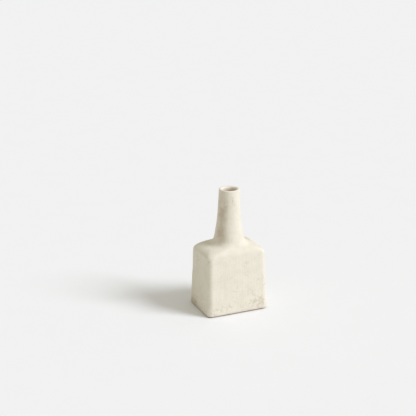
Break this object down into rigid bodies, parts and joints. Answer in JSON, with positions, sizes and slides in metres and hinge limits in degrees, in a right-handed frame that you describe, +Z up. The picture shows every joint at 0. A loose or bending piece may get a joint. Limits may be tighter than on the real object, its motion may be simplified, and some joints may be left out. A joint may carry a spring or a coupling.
{
  "type": "bud vase",
  "caption": "Bud vase: flat-sided rectangular bottle body with a domed shoulder and a tall, round, gently flared neck that is open at the lip for a few stems.",
  "frame": {"origin": "bottom centre of the vase, on the surface it stands on", "axes": "+Z up along the neck, X across the wide faces, the front face looks along -Y"},
  "size_m": [0.1004, 0.0752, 0.19],
  "materials": {
    "clay": "unglazed buff stoneware, fired",
    "slip": "matte cream slip with fine pits and crackle",
    "liner": "thin honey-brown liner glaze",
    "felt": "pressed wool felt"
  },
  "bodies": {
    "root": {"base_slab": "clay", "front_wall": "clay", "back_wall": "clay", "left_wall": "clay", "right_wall": "clay", "base_coil": "clay", "front_left_coil": "clay", "back_left_coil": "clay", "front_right_coil": "clay", "back_right_coil": "clay", "shoulder_slab": "clay", "neck_tube": "clay", "neck_coil": "clay", "slip_coat": "slip", "liner_glaze": "liner", "front_left_pad": "felt", "front_right_pad": "felt", "back_left_pad": "felt", "back_right_pad": "felt"}
  },
  "joints": []
}
